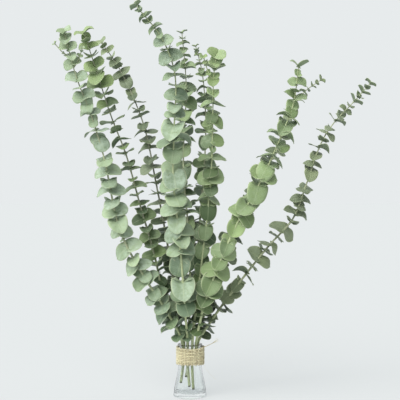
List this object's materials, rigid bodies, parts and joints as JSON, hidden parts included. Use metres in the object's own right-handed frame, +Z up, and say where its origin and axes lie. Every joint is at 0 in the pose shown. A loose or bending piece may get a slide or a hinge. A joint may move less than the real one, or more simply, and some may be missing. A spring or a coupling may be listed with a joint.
{
  "type": "eucalyptus bunch in a bottle vase",
  "caption": "Bunch of round-leaved eucalyptus branches with opposite leaf pairs, standing in a small flared glass bottle vase with a jute band round its neck.",
  "frame": {"origin": "centre of the vase's base, on the surface that it stands on", "axes": "+Z up the vase and the bunch, -Y towards the front of the bunch, +X to its right as seen from the front"},
  "size_m": [0.3598, 0.1725, 0.423],
  "materials": {
    "glass": "clear, smooth, thick-walled bottle glass",
    "jute": "coarse open-weave jute cloth, dry and fibrous",
    "eucalyptus_blue_green": "matt leaf with a pale waxy bloom, lighter margins and midrib",
    "eucalyptus_green": "satin green leaf with pale margins and midrib, light green stem",
    "eucalyptus_grey_green": "matt grey-green leaf with brown specks, grey-brown stem"
  },
  "bodies": {
    "root": {"vase": "glass", "jute_band": "jute", "branch_far_left": "eucalyptus_blue_green", "branch_left": "eucalyptus_green", "branch_left_rear": "eucalyptus_grey_green", "branch_tall_front": "eucalyptus_blue_green", "branch_tall_rear": "eucalyptus_green", "branch_middle_rear": "eucalyptus_green", "branch_middle_front": "eucalyptus_green", "branch_right_front": "eucalyptus_green", "branch_right_rear": "eucalyptus_grey_green", "branch_far_right": "eucalyptus_grey_green"}
  },
  "joints": []
}
